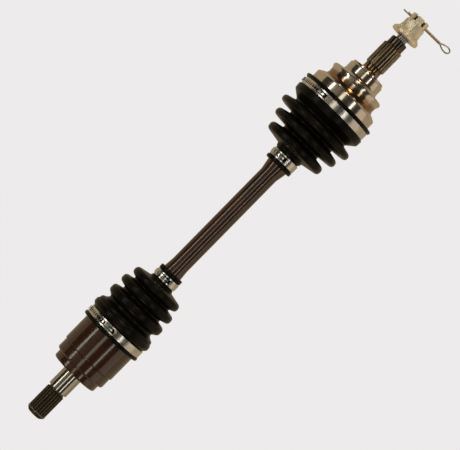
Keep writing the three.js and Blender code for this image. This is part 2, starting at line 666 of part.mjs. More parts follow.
const outerBootProfile = [
  [outerSmallSeatX - 5, OUTER_BOOT_SMALL_BORE],
  [outerSmallSeatX - 5, outerSmallLip - 1.1],
  [outerSmallSeatX - 4.2, outerSmallLip],
  [outerSmallSeatX - 1, outerSmallLip],
  [outerSmallSeatX - 0.4, OUTER_BOOT_SMALL_SEAT_RADIUS],
  [outerSmallSeatEndX, OUTER_BOOT_SMALL_SEAT_RADIUS],
  [BELL_MOUTH_X - 56.5, OUTER_BOOT_SMALL_SEAT_RADIUS + BOOT_WALL],
  [BELL_MOUTH_X - 54, 24],
  ...bootFolds(outerFolds, 3, 2.6),
  [BELL_MOUTH_X - 3.4, outerShoulder],
  [outerBigSeatX - 0.4, outerShoulder],
  [outerBigSeatX - 0.4, OUTER_BOOT_BIG_SEAT_RADIUS],
  [outerBigSeatX + OUTER_BIG_CLAMP_WIDTH + 0.4, OUTER_BOOT_BIG_SEAT_RADIUS],
  [outerBootBigEndX, outerBigLip - 1],
  [outerBootBigEndX + 2, outerBigLip],
  [outerBootBigEndX + 5, outerBigLip - 1],
  [outerBootBigEndX + 5, OUTER_BOOT_BIG_BORE],
  [BELL_MOUTH_X - 1, OUTER_BOOT_BIG_BORE],
  ...insideOf(outerFolds),
  [BELL_MOUTH_X - 54.6, OUTER_BOOT_SMALL_BORE + 2 * BOOT_WALL],
  [outerSmallSeatEndX + 2, OUTER_BOOT_SMALL_BORE],
  [outerSmallSeatX - 5, OUTER_BOOT_SMALL_BORE],
];
add(axle, 'outer_boot', turned(acrossFlats(outerBootProfile)), RUBBER);

// Inner boot, placed from the inner housing's mouth.
const innerBootBigStartX = bigClampX - 4.2;
const innerSmallSeatX = INNER_MOUTH_X + 67.5;
const innerSmallSeatEndX = innerSmallSeatX + INNER_SMALL_CLAMP_WIDTH;
const innerBump = [
  [INNER_MOUTH_X + 5.5, 38.3],
  [INNER_MOUTH_X + 12, 34.5],
  [INNER_MOUTH_X + 16, 27.5],
];
const innerFolds = [
  [INNER_MOUTH_X + 25.2, 35.7, true],
  [INNER_MOUTH_X + 33.2, 26.7],
  [INNER_MOUTH_X + 42.1, 34.8, true],
  [INNER_MOUTH_X + 49, 25.8],
  [INNER_MOUTH_X + 56.4, 30.9, true],
];
const innerBigLip = INNER_BOOT_BIG_SEAT_RADIUS + INNER_BIG_LIP_HEIGHT;
const innerSmallLip = INNER_BOOT_SMALL_SEAT_RADIUS + INNER_SMALL_LIP_HEIGHT;
const innerBootProfile = [
  [innerBootBigStartX, INNER_BOOT_BIG_BORE],
  [innerBootBigStartX, innerBigLip - 0.6],
  [innerBootBigStartX + 1, innerBigLip],
  [bigClampX - 0.6, innerBigLip],
  [bigClampX - 0.4, INNER_BOOT_BIG_SEAT_RADIUS],
  [bigClampX + INNER_BIG_CLAMP_WIDTH + 0.4, INNER_BOOT_BIG_SEAT_RADIUS],
  ...innerBump,
  ...bootFolds(innerFolds, 3, 2.2),
  [innerSmallSeatX - 3.8, INNER_BOOT_SMALL_SEAT_RADIUS + 1],
  [innerSmallSeatX - 0.4, INNER_BOOT_SMALL_SEAT_RADIUS],
  [innerSmallSeatEndX + 0.4, INNER_BOOT_SMALL_SEAT_RADIUS],
  [innerSmallSeatEndX + 0.6, innerSmallLip],
  [innerSmallSeatEndX + 5.6, innerSmallLip],
  [innerSmallSeatEndX + 5.6, INNER_BOOT_SMALL_BORE],
  [innerSmallSeatX - 4, INNER_BOOT_SMALL_BORE],
  ...insideOf(innerFolds),
  ...insideOf(innerBump),
  [INNER_MOUTH_X + GAP, INNER_BOOT_BIG_BORE],
  [innerBootBigStartX, INNER_BOOT_BIG_BORE],
];
add(axle, 'inner_boot', turned(acrossFlats(innerBootProfile)), RUBBER);

// ---- Clamps: a band, its overlapping end and the closed hook or ear ----

// An arc of sheet from one angle to another, in degrees from the top towards +Y.
function strap(inner, outer, from, to, x, width) {
  const steps = Math.max(3, Math.ceil((to - from) / 15));
  const shape = new THREE.Shape();
  const at = (r, i) => {
    const angle = rad(from + (to - from) * i / steps);
    return [-r * Math.cos(angle), r * Math.sin(angle)];
  };
  for (let i = 0; i <= steps; i++) {
    shape[i === 0 ? 'moveTo' : 'lineTo'](...at(outer, i));
  }
  for (let i = steps; i >= 0; i--) {
    shape.lineTo(...at(inner, i));
  }
  shape.closePath();
  const prism = new THREE.ExtrudeGeometry(shape, { depth: width, bevelEnabled: false });
  return prism.rotateY(Math.PI / 2).translate(x, 0, 0);
}

function clampShape(seatRadius, thickness, x, width, lap, ear) {
  const inner = seatRadius + GAP;
  const outer = inner + thickness;
  const root = (inner + thickness / 2) * ROUND;
  const band = ring(inner, outer * ROUND, x, width);
  const pieces = [
    strap(root, (outer + lap.height) * ROUND, lap.from, lap.to, x, width),
    strap(root, (outer + ear.height) * ROUND, ear.from, ear.to, x + 0.8, width - 1.6),
  ];
  return carve(band, pieces, []);
}

add(axle, 'inner_boot_big_clamp', clampShape(
  INNER_BOOT_BIG_SEAT_RADIUS, BIG_CLAMP_THICKNESS, bigClampX, INNER_BIG_CLAMP_WIDTH,
  { from: -10, to: 80, height: 0.5 }, { from: 20, to: 38, height: 1.4 },
), BRIGHT);
add(axle, 'outer_boot_big_clamp', clampShape(
  OUTER_BOOT_BIG_SEAT_RADIUS, BIG_CLAMP_THICKNESS, outerBigSeatX, OUTER_BIG_CLAMP_WIDTH,
  { from: 14, to: 95, height: 0.5 }, { from: 31, to: 46, height: 1.4 },
), BRIGHT);
add(axle, 'inner_boot_small_clamp', clampShape(
  INNER_BOOT_SMALL_SEAT_RADIUS, SMALL_CLAMP_THICKNESS, innerSmallSeatX, INNER_SMALL_CLAMP_WIDTH,
  { from: 0, to: 120, height: 0.4 }, { from: 66, to: 104, height: 1.8 },
), BRIGHT);
add(axle, 'outer_boot_small_clamp', clampShape(
  OUTER_BOOT_SMALL_SEAT_RADIUS, SMALL_CLAMP_THICKNESS, outerSmallSeatX, OUTER_SMALL_CLAMP_WIDTH,
  { from: 10, to: 130, height: 0.4 }, { from: 70, to: 104, height: 1.8 },
), BRIGHT);

// ---- Axle bar, with a splined end in each race and the rings that hold the races ----

const innerBarEndX = INNER_X - INNER_BAR_OVERHANG;
const innerRaceStartX = INNER_X - INNER_RACE_HALF_WIDTH;
const innerRaceEndX = INNER_X + INNER_RACE_HALF_WIDTH;
const outerRaceStartX = OUTER_X - OUTER_RACE_HALF_WIDTH;
const outerRaceEndX = OUTER_X + OUTER_RACE_HALF_WIDTH;
const outerBarEndX = OUTER_X + OUTER_BAR_OVERHANG;
const innerCirclipX = innerRaceStartX - GAP - CIRCLIP_THICKNESS / 2;
const stopRingX = innerRaceEndX + GAP + CIRCLIP_THICKNESS / 2;
const outerCirclipX = outerRaceEndX + GAP + CIRCLIP_THICKNESS / 2;
const innerSeatStartX = innerSmallSeatX - 2;
const innerSeatEndX = innerSmallSeatEndX + 7;
const outerSeatStartX = outerSmallSeatX - 6.4;
const outerSeatEndX = outerSmallSeatEndX + 1;
const innerEndRadius = INNER_BAR_SPLINE_RADIUS - SPLINE_DEPTH - 0.1;
const outerEndRadius = OUTER_BAR_SPLINE_RADIUS - SPLINE_DEPTH - 0.1;

// The four corners of a ring groove in a plain stretch of the bar.
function ringGroove(x, radius) {
  const half = CIRCLIP_THICKNESS / 2 + GAP;
  const floor = radius - RING_GROOVE_DEPTH;
  return [[x - half, radius], [x - half, floor], [x + half, floor], [x + half, radius]];
}

const barProfile = [
  [innerBarEndX, 0],
  [innerBarEndX, innerEndRadius - 0.5],
  [innerBarEndX + 0.5, innerEndRadius],
  ...ringGroove(innerCirclipX, innerEndRadius),
  ...ringGroove(stopRingX, innerEndRadius),
  [stopRingX + CIRCLIP_THICKNESS + 1, innerEndRadius],
  [stopRingX + CIRCLIP_THICKNESS + 3, BAR_RADIUS],
  [innerSeatStartX - 2, BAR_RADIUS],
  [innerSeatStartX, INNER_SEAT_RADIUS],
  [innerSeatEndX, INNER_SEAT_RADIUS],
  [innerSeatEndX + BAR_TAPER_LENGTH, BAR_RADIUS],
  [outerSeatStartX - BAR_TAPER_LENGTH, BAR_RADIUS],
  [outerSeatStartX, OUTER_SEAT_RADIUS],
  [outerSeatEndX, OUTER_SEAT_RADIUS],
  [outerSeatEndX + 2.4, BAR_RADIUS],
  [outerRaceStartX - GAP - 0.6, BAR_RADIUS],
  [outerRaceStartX - GAP, outerEndRadius],
  ...ringGroove(outerCirclipX, outerEndRadius),
  [outerBarEndX - 1, outerEndRadius],
  [outerBarEndX, outerEndRadius - 1],
  [outerBarEndX, 0],
];
const innerBarSpline = across(
  splineSection(INNER_BAR_SPLINE_RADIUS), innerRaceStartX + 0.2, 2 * INNER_RACE_HALF_WIDTH - 0.4,
);
const outerBarSpline = across(
  splineSection(OUTER_BAR_SPLINE_RADIUS), outerRaceStartX + 0.2, 2 * OUTER_RACE_HALF_WIDTH - 0.4,
);
add(axle, 'axle_bar', carve(turned(barProfile), [innerBarSpline, outerBarSpline], []), PAINT);

function addBarRing(name, x, barEndRadius) {
  const inner = barEndRadius - RING_GROOVE_DEPTH + GAP;
  add(axle, name, snapRing(inner, inner + RING_HEIGHT, x, CIRCLIP_THICKNESS), BRIGHT);
}

addBarRing('inner_race_circlip', innerCirclipX, innerEndRadius);
addBarRing('inner_race_stop_ring', stopRingX, innerEndRadius);
addBarRing('outer_race_circlip', outerCirclipX, outerEndRadius);

export default axle;
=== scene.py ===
"""A vehicle's drive axle with two boots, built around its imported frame. Metres; +X along it, +Z up."""
import math

import bpy
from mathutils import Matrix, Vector


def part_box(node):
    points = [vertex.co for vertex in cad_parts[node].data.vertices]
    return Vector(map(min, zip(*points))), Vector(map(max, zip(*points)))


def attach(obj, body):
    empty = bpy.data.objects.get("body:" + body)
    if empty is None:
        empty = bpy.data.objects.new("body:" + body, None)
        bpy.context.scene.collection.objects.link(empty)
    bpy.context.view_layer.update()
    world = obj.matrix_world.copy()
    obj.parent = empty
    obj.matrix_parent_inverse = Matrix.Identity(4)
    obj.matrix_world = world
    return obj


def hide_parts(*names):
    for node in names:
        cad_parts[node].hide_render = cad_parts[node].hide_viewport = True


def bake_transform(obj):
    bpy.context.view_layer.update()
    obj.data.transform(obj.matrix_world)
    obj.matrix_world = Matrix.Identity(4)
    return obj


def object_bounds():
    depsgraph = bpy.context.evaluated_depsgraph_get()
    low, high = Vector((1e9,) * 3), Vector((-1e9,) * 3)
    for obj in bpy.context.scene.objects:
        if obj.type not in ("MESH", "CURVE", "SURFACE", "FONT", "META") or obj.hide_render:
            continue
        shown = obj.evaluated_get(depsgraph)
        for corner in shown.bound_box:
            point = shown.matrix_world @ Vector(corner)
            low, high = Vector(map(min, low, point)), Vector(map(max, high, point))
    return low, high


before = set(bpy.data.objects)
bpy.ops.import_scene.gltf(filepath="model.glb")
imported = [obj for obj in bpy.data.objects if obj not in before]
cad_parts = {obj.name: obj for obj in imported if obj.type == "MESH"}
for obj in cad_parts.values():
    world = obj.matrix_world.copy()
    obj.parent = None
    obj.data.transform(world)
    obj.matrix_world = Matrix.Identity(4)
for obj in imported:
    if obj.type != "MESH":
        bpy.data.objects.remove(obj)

cad_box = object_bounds()

# ---- The floor, the camera and the lights ----
# The axle lies on a plain pale floor that glows evenly. A second plane, which only reflections see,
# gives the metal a warm tone. Long lamps run alongside, so that turned pieces show lines lengthwise.
MM = 0.001
AXLE_MIDDLE = 0.29
FLOOR_COLOR = (0.847, 0.831, 0.831, 1)
TABLE_COLOR = (0.44, 0.345, 0.22, 1)
FLOOR_SIZE = 24
TABLE_SIZE = 6
CAMERA_HEIGHT = 2.4
CAMERA_TURN = -45.5
CAMERA_LENS = 178.4

bpy.context.scene.view_settings.view_transform = "Standard"
bpy.ops.object.select_all(action="DESELECT")
bpy.ops.mesh.primitive_plane_add(size=FLOOR_SIZE, location=(AXLE_MIDDLE, 0, cad_box[0][2] - 0.3 * MM))
floor = bpy.context.object
floor.name = "floor"
floor_finish = bpy.data.materials.new("pale_floor")
floor_finish.use_nodes = True
floor_shader = floor_finish.node_tree.nodes["Principled BSDF"]
floor_shader.inputs["Base Color"].default_value = (0, 0, 0, 1)
floor_shader.inputs["Roughness"].default_value = 1
floor_shader.inputs["Specular IOR Level"].default_value = 0
floor_shader.inputs["Emission Color"].default_value = FLOOR_COLOR
floor_shader.inputs["Emission Strength"].default_value = 1
floor_finish.cycles.emission_sampling = "NONE"
floor.data.materials.append(floor_finish)
floor.visible_diffuse = False
floor.visible_glossy = False
bpy.ops.object.select_all(action="DESELECT")
bpy.ops.mesh.primitive_plane_add(size=TABLE_SIZE, location=(AXLE_MIDDLE, 0, cad_box[0][2] - 0.2 * MM))
table = bpy.context.object
table.name = "table_glow"
table.visible_camera = False
table_finish = floor_finish.copy()
table_finish.name = "warm_table_glow"
table_finish.node_tree.nodes["Principled BSDF"].inputs["Emission Color"].default_value = TABLE_COLOR
table.data.materials.append(table_finish)

bpy.ops.object.camera_add(
    location=(0.2866, -0.008, CAMERA_HEIGHT), rotation=(0, 0, math.radians(CAMERA_TURN)),
)
camera = bpy.context.object
camera.data.sensor_width = 36
camera.data.lens = CAMERA_LENS
bpy.context.scene.camera = camera

world = bpy.data.worlds.new("dim_room")
bpy.context.scene.world = world
world.use_nodes = True
world.node_tree.nodes["Background"].inputs["Color"].default_value = (0.02, 0.017, 0.014, 1)


def lamp(name, tilt, turn, distance, width, length, glow, color):
    """A rectangular lamp that faces the axle's middle: it is tilted in degrees from overhead towards +Y,
    or turned towards +X."""
    side, end = math.radians(tilt), math.radians(turn)
    where = (
        AXLE_MIDDLE + distance * math.sin(end),
        distance * math.sin(side) * math.cos(end),
        distance * math.cos(side) * math.cos(end),
    )
    bpy.ops.object.light_add(type="AREA", location=where, rotation=(-side, end, 0))
    made = bpy.context.object
    made.name = name
    made.visible_camera = False
    made.data.shape = "RECTANGLE"
    made.data.size = length
    made.data.size_y = width
    made.data.energy = glow * math.pi * width * length
    made.data.color = color


lamp("softbox", 38, 0, 1.3, 0.8, 1.8, 0.18, (1, 0.86, 0.64))
lamp("overhead", 7, 0, 1.7, 0.30, 1.9, 1.55, (1, 0.91, 0.74))
lamp("strip_far", 52, 0, 1.25, 0.14, 1.8, 4.2, (1, 0.95, 0.84))
lamp("strip_near", -33, 0, 1.25, 0.12, 1.8, 3.2, (1, 0.95, 0.84))
lamp("warm_card", -80, 0, 1.3, 0.9, 2.0, 0.65, (1, 0.82, 0.62))
lamp("warm_end", 6, 68, 1.4, 0.16, 0.4, 15, (1, 0.7, 0.42))
lamp("warm_start", 6, -68, 1.4, 0.16, 0.4, 13, (1, 0.7, 0.42))


# ---- Axle bar ----
# A round steel bar, thicker where each boot's small end sits, splined at both ends inside the joints.
# It is turned from forged stock and painted a glossy dark red-brown.
class Link:
    """One socket of a material's nodes. Sums written on it add Math nodes."""

    def __init__(self, tree, socket=None):
        self.tree = tree
        self.socket = socket

    def node(self, kind, settings=(), inputs=(), out=0):
        """Adds any node: its settings first, then the values or links of its sockets."""
        made = self.tree.nodes.new(kind)
        for name, value in dict(settings).items():
            if name == "stops":
                made.color_ramp.elements.remove(made.color_ramp.elements[1])
                made.color_ramp.elements[0].position = value[0][0]
                made.color_ramp.elements[0].color = value[0][1]
                for at, color in value[1:]:
                    made.color_ramp.elements.new(at).color = color
            else:
                setattr(made, name, value)
        for name, value in dict(inputs).items():
            if isinstance(value, Link):
                self.tree.links.new(value.socket, made.inputs[name])
            else:
                made.inputs[name].default_value = value
        return Link(self.tree, made.outputs[out])

    def math(self, operation, first, second=0.0):
        return self.node("ShaderNodeMath", {"operation": operation}, {0: first, 1: second})

    def __add__(self, other):
        return self.math("ADD", self, other)

    __radd__ = __add__

    def __sub__(self, other):
        return self.math("SUBTRACT", self, other)

    def __rsub__(self, other):
        return self.math("SUBTRACT", other, self)

    def __mul__(self, other):
        return self.math("MULTIPLY", self, other)

    __rmul__ = __mul__

    def __truediv__(self, other):
        return self.math("DIVIDE", self, other)

    def __pow__(self, other):
        return self.math("POWER", self, other)

    def over(self, low, high):
        """0 below low and 1 above high, evenly between."""
        return self.node("ShaderNodeMapRange", {}, {"Value": self, "From Min": low, "From Max": high})


def start_material(name):
    """A new material and the object's own coordinates."""
    material = bpy.data.materials.new(name)
    material.use_nodes = True
    return material, Link(material.node_tree).node("ShaderNodeTexCoord", out="Object")


def finish_material(material, sockets):
    shader = material.node_tree.nodes["Principled BSDF"]
    for name, value in sockets.items():
        if isinstance(value, Link):
            material.node_tree.links.new(value.socket, shader.inputs[name])
        else:
            shader.inputs[name].default_value = value
    return material


def noise(place, scale, detail=3.0, stretch=(1, 1, 1)):
    """Cloudy noise about 0.5, with so many clouds to the metre, packed closer along each stretched axis."""
    packed = place.node("ShaderNodeMapping", {}, {"Vector": place, "Scale": stretch})
    return place.node("ShaderNodeTexNoise", {}, {"Vector": packed, "Scale": scale, "Detail": detail})


def mix(mask, first, second):
    return mask.node("ShaderNodeMix", {"data_type": "RGBA"}, {0: mask, 6: first, 7: second}, out=2)


def bump(height, depth):
    return height.node("ShaderNodeBump", {}, {"Distance": depth, "Height": height})


def rounded(corners, steps=5):
    """A profile in metres from corners in millimetres. A corner's third number is its radius."""
    profile = []
    for i, (x, r, *radius) in enumerate(corners):
        here = Vector((x, r))
        if not radius:
            profile.append(here * MM)
            continue
        back = Vector(corners[i - 1][:2]) - here
        ahead = Vector(corners[i + 1][:2]) - here
        half = back.angle(ahead) / 2
        reach = min(radius[0] / math.tan(half), 0.49 * back.length, 0.49 * ahead.length)
        middle = (back.normalized() + ahead.normalized()).normalized()
        centre = here + middle * reach / math.cos(half)
        first = here + back.normalized() * reach - centre
        last = here + ahead.normalized() * reach - centre
        from_angle = math.atan2(first.y, first.x)
        swing = (math.atan2(last.y, last.x) - from_angle + math.pi) % (2 * math.pi) - math.pi
        for step in range(steps + 1):
            angle = from_angle + swing * step / steps
            profile.append((centre + first.length * Vector((math.cos(angle), math.sin(angle)))) * MM)
    return profile


def turn(name, profile, steps=120, start=0.0, sweep=360.0):
    """A piece turned about the axle; start and sweep are degrees from the top towards +Y."""
    side, up = math.sin(math.radians(start)), math.cos(math.radians(start))
    bpy.ops.object.select_all(action="DESELECT")
    bpy.ops.mesh.primitive_plane_add(size=MM)
    piece = bpy.context.object
    piece.name = name
    piece.data.name = name
    bpy.ops.object.mode_set(mode="EDIT")
    bpy.ops.mesh.select_mode(type="VERT")
    bpy.ops.mesh.select_all(action="SELECT")
    bpy.ops.mesh.merge(type="CENTER")
    x, r = profile[0]
    bpy.ops.transform.translate(value=(x, r * side, r * up))
    for next_x, next_r in profile[1:]:
        move = (next_x - x, (next_r - r) * side, (next_r - r) * up)
        bpy.ops.mesh.extrude_vertices_move(TRANSFORM_OT_translate={"value": move})
        x, r = next_x, next_r
    bpy.ops.mesh.select_all(action="SELECT")
    bpy.ops.mesh.remove_doubles(threshold=1e-7)
    if sweep < 360:
        bpy.ops.mesh.edge_face_add()
    bpy.ops.mesh.spin(
        steps=steps, angle=math.radians(sweep), center=(0, 0, 0), axis=(-1, 0, 0),
    )
    bpy.ops.mesh.select_all(action="SELECT")
    bpy.ops.mesh.remove_doubles(threshold=1e-7)
    bpy.ops.mesh.normals_make_consistent(inside=False)
    bpy.ops.object.mode_set(mode="OBJECT")
    return piece


def smooth(piece, degrees=32):
    bpy.ops.object.select_all(action="DESELECT")
    piece.select_set(True)
    bpy.context.view_layer.objects.active = piece
    bpy.ops.object.shade_smooth_by_angle(angle=math.radians(degrees))


def place_piece(piece, material, body=None, stands_for=()):
    """Finishes a piece: its smooth faces, material and slot, what it replaces, and the body it rides on."""
    smooth(piece)
    piece.data.materials.clear()
    piece.data.materials.append(material)
    if stands_for:
        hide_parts(*stands_for)
    if body:
        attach(piece, body)
    return piece


paint, place = start_material("brown_paint")
clouds = noise(place, 60, 4)
peel = noise(place, 900, 2)
dust = noise(place, 2600, 2).over(0.62, 0.74)
tone = mix(clouds.over(0.3, 0.7), (0.038, 0.0142, 0.0056, 1), (0.058, 0.0222, 0.0086, 1))
finish_material(paint, {
    "Base Color": mix(dust * 0.35, tone, (0.16, 0.12, 0.09, 1)),
    "Roughness": 0.1 + 0.1 * clouds + 0.2 * dust,
    "IOR": 1.68,
    "Normal": bump(peel * 0.3 + clouds, 0.012 * MM),
})

bar_start, bar_end = (corner.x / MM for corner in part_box("axle_bar"))
inner_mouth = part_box("inner_housing")[1].x / MM
bell_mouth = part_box("outer_housing")[0].x / MM
BAR = 10.4
INNER_SEAT = 11.3
OUTER_SEAT = 12.6
SPLINE_END = 8.7
bar = turn("bar", rounded([
    (bar_start, 0),
    (bar_start, SPLINE_END - 1, 0.4),
    (bar_start + 1, SPLINE_END, 0.4),
    (bar_start + 27, SPLINE_END, 0.8),
    (bar_start + 29, BAR, 1.5),
    (inner_mouth + 55, BAR, 8),
    (inner_mouth + 63, INNER_SEAT, 6),
    (inner_mouth + 82, INNER_SEAT, 6),
    (inner_mouth + 92, BAR, 10),
    (bell_mouth - 89, BAR, 12),
    (bell_mouth - 77, OUTER_SEAT, 8),
    (bell_mouth - 60, OUTER_SEAT, 6),
    (bell_mouth - 50, BAR, 8),
    (bar_end - 31, BAR, 1.5),
    (bar_end - 29, SPLINE_END - 0.6, 0.8),
    (bar_end - 1, SPLINE_END - 0.6, 0.4),
    (bar_end, SPLINE_END - 1.6, 0.4),
    (bar_end, 0),
]), steps=96)
place_piece(bar, paint, "shaft", ["axle_bar"])


# ---- Inner housing ----
# The gearbox end: a back disc, a ring and a long barrel with a bore that the joint slides in.
# It is one steel forging, turned outside and painted like the bar, and its stub is left bare.
BACK_DISC = 27.9
MIDDLE_RING = 31.6
BARREL = 32.9
BARREL_BORE = 28.9
shoulder = inner_mouth - 67.5
barrel_floor = shoulder + 13.5
housing = turn("inner_housing_barrel", rounded([
    (shoulder, 0),
    (shoulder, BACK_DISC, 2.2),
    (shoulder + 8.1, BACK_DISC, 0.4),
    (shoulder + 8.9, 30.4, 0.3),
    (shoulder + 10.2, MIDDLE_RING, 1.2),
    (shoulder + 20.8, MIDDLE_RING, 0.4),
    (shoulder + 21.4, MIDDLE_RING - 0.4, 0.3),
    (shoulder + 22.4, BARREL, 0.6),
    (inner_mouth, BARREL, 0.5),
    (inner_mouth, BARREL_BORE + 0.3, 0.4),
    (inner_mouth - 7.5, BARREL_BORE, 1),
    (barrel_floor, BARREL_BORE, 2),
    (barrel_floor, 0),
]), steps=160)
place_piece(housing, paint, "gearbox_end", ["inner_housing"])


# ---- Inner stub ----
# The splined end that enters the gearbox, with a ground journal for the oil seal behind it.
# It is bare steel: the journal is polished, and the teeth are dark with oil.
SPLINE_TEETH = 20
TOOTH_STEPS = 8


def cut_teeth(piece, from_x, to_x, tip, depth):
    """Draws the gaps of a spline in towards the axle, between two places along it."""
    pitch = 2 * math.pi / SPLINE_TEETH
    for share, drop in (({2, 6}, 0.45), ({3, 4, 5}, 1.0)):
        bpy.ops.object.mode_set(mode="EDIT")
        bpy.ops.mesh.select_mode(type="VERT")
        bpy.ops.mesh.select_all(action="DESELECT")
        bpy.ops.object.mode_set(mode="OBJECT")
        for vertex in piece.data.vertices:
            x, y, z = vertex.co / MM
            step = round((math.atan2(y, z) % pitch) / pitch * TOOTH_STEPS) % TOOTH_STEPS
            vertex.select = from_x < x < to_x and step in share and math.hypot(y, z) > tip - depth
        bpy.ops.object.mode_set(mode="EDIT")
        inward = (tip - depth * drop) / tip
        bpy.ops.transform.resize(value=(1, inward, inward), center_override=(0, 0, 0))
        bpy.ops.object.mode_set(mode="OBJECT")


def apart(place):
    """Coordinates apart: along the axle, towards +Y and up."""
    return [place.node("ShaderNodeSeparateXYZ", {}, {0: place}, out=axis) for axis in range(3)]


def radius_of(side, up):
    return (side * side + up * up) ** 0.5


STUB_TIP = 11.1
JOURNAL = 11.75
CLIP_GROOVE = 9.4
STUB_DEPTH = 1.3
STUB_DAB = (2.6 * MM, 2.6 * MM, 10.4 * MM)
stub = turn("inner_stub", rounded([
    (0, 0),
    (0, STUB_TIP - 3.4, 0.8),
    (1.0, STUB_TIP - 2.2, 0.8),
    (2.9, STUB_TIP - 0.2),
    (3.3, STUB_TIP),
    (3.4, CLIP_GROOVE),
    (5.2, CLIP_GROOVE),
    (5.3, STUB_TIP),
    (32.9, STUB_TIP),
    (33.7, STUB_TIP - STUB_DEPTH - 0.3),
    (35.0, STUB_TIP - STUB_DEPTH - 0.3, 0.3),
    (36.0, JOURNAL, 0.3),
    (shoulder + 0.2, JOURNAL),
    (shoulder + 0.2, 0),
]), steps=SPLINE_TEETH * TOOTH_STEPS)
cut_teeth(stub, 2.8, 33.2, STUB_TIP, STUB_DEPTH)

stub_steel, place = start_material("stub_steel")
along, side, up = apart(place)
streaks = noise(place, 90, 3, stretch=(1, 8, 8))
ground = noise(place, 2400, 3, stretch=(1, 0.02, 0.02))
oil = noise(place, 180, 4)
crest = radius_of(side, up).over(10.5 * MM, 11.05 * MM)
teeth = mix(crest * (0.3 + 0.35 * oil), (0.038, 0.03, 0.018, 1), (0.17, 0.14, 0.09, 1))
journal = along.over(34.4 * MM, 35.0 * MM)
away = place.node("ShaderNodeVectorMath", {"operation": "DISTANCE"}, {0: place, 1: STUB_DAB}, out="Value")
dab = 1 - away.over(1.3 * MM, 1.9 * MM)
metal = mix(journal, teeth, mix(streaks, (0.36, 0.35, 0.31, 1), (0.52, 0.51, 0.47, 1)))
finish_material(stub_steel, {
    "Base Color": mix(dab, metal, (0.0, 0.14, 0.11, 1)),
    "Metallic": 0.75 + 0.25 * journal,
    "Roughness": 0.46 - 0.34 * journal + 0.08 * oil,
    "Normal": bump(ground * 0.5 + oil * 0.4, 0.004 * MM),
})
place_piece(stub, stub_steel, "gearbox_end", ["inner_housing"])


# ---- Stub circlip ----
# An open ring of round spring wire in a groove near the stub's end; it snaps out inside the
# gearbox and holds the axle there.
WIRE = 0.85
clip_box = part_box("stub_circlip")
clip_x = (clip_box[0].x + clip_box[1].x) / 2 / MM
CLIP_LINE = 10.55
clip = turn("stub_clip", rounded([
    (clip_x + WIRE * math.sin(math.radians(angle)), CLIP_LINE + WIRE * math.cos(math.radians(angle)))
    for angle in range(0, 361, 30)
]), steps=90, start=102, sweep=336)

spring_steel, place = start_material("spring_steel")
rub = noise(place, 420, 4)
finish_material(spring_steel, {
    "Base Color": mix(rub.over(0.35, 0.7), (0.13, 0.12, 0.105, 1), (0.42, 0.40, 0.36, 1)),
    "Metallic": 1.0,
    "Roughness": 0.24 + 0.2 * rub,
    "Normal": bump(rub, 0.003 * MM),
})
place_piece(clip, spring_steel, "gearbox_end", ["stub_circlip"])


# ---- Outer housing ----
# The wheel end: a bell over the joint, a flared ring, a collar that meets the wheel bearing, and a
# splined stub that ends in a thread. It is one forging, turned and hardened, and left bare.
HUB_TIP = 11.8
HUB_DEPTH = 1.3
BELL_CAVITY = 36.5
BELL = 40.3
WAIST = 31.3
FLARED_RING = 33.5
COLLAR = 22.2
COLLAR_STEP = 20.6
RELIEF = 6.3
THREAD = 8
joint_x = bell_mouth + 14
hub_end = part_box("outer_housing")[1].x / MM
face_x = bell_mouth + 61
spline_x = face_x + 8.4
plain_x = spline_x + 29.4
relief_x = plain_x + 9.4
thread_x = relief_x + 7.8
cavity = [
    (joint_x + BELL_CAVITY * math.sin(math.radians(angle)), BELL_CAVITY * math.cos(math.radians(angle)))
    for angle in range(22, -23, -4)
]
THREAD_PITCH = 1.5
thread = []
for turn_index in range(14):
    thread.append((thread_x + 1.6 + turn_index * THREAD_PITCH, THREAD))
    thread.append((thread_x + 1.6 + (turn_index + 0.5) * THREAD_PITCH, THREAD - 0.8))
outer_housing = turn("outer_housing_forging", rounded([
    (joint_x + 27, 0),
    (joint_x + 27, 22),
    (joint_x + 19.5, 28.2),
    (joint_x + 16.5, 31.6),
    *cavity,
    (bell_mouth, 33.6),
    (bell_mouth, BELL, 0.5),
    (bell_mouth + 26.6, BELL, 1.6),
    (bell_mouth + 29.6, 35.6, 1.4),
    (bell_mouth + 30.6, 32.8, 1.6),
    (bell_mouth + 33.4, WAIST, 3),
    (bell_mouth + 38.6, WAIST + 0.2, 5),
    (bell_mouth + 43.2, FLARED_RING, 2.2),
    (bell_mouth + 45.2, 31.8, 0.8),
    (bell_mouth + 45.2, 25.6, 0.3),
    (bell_mouth + 47.4, 22.9, 1.6),
    (bell_mouth + 49.6, COLLAR, 1.2),
    (face_x - 3.0, COLLAR, 1.7),
    (face_x - 2.2, COLLAR_STEP, 0.3),
    (face_x, COLLAR_STEP, 0.4),
    (face_x, 13.4, 0.4),
    (face_x + 1.2, 11.1, 1.6),
    (face_x + 3.4, 10.3, 3),
    (spline_x - 0.4, 10.2),
    (spline_x + 1.0, HUB_TIP),
    (plain_x - 1.2, HUB_TIP),
    (plain_x, 9.95),
    (relief_x - 0.8, 9.9, 0.3),
    (relief_x, 9.1, 0.3),
    (relief_x, RELIEF, 0.5),
    (thread_x + 0.2, RELIEF, 0.5),
    *thread,
    (hub_end - 1.2, THREAD - 0.4),
    (hub_end, THREAD - 1.4, 0.3),
    (hub_end, 0),
]), steps=SPLINE_TEETH * TOOTH_STEPS)
cut_teeth(outer_housing, spline_x + 0.5, plain_x - 0.6, HUB_TIP, HUB_DEPTH)

forged, place = start_material("turned_steel")
along, side, up = apart(place)
marks = noise(place, 1500, 5, stretch=(1, 0.02, 0.02))
rings = noise(place, 260, 3, stretch=(1, 0.06, 0.06))
stain = noise(place, 110, 4)
zones = (along - bell_mouth * MM) / ((hub_end - bell_mouth) * MM)


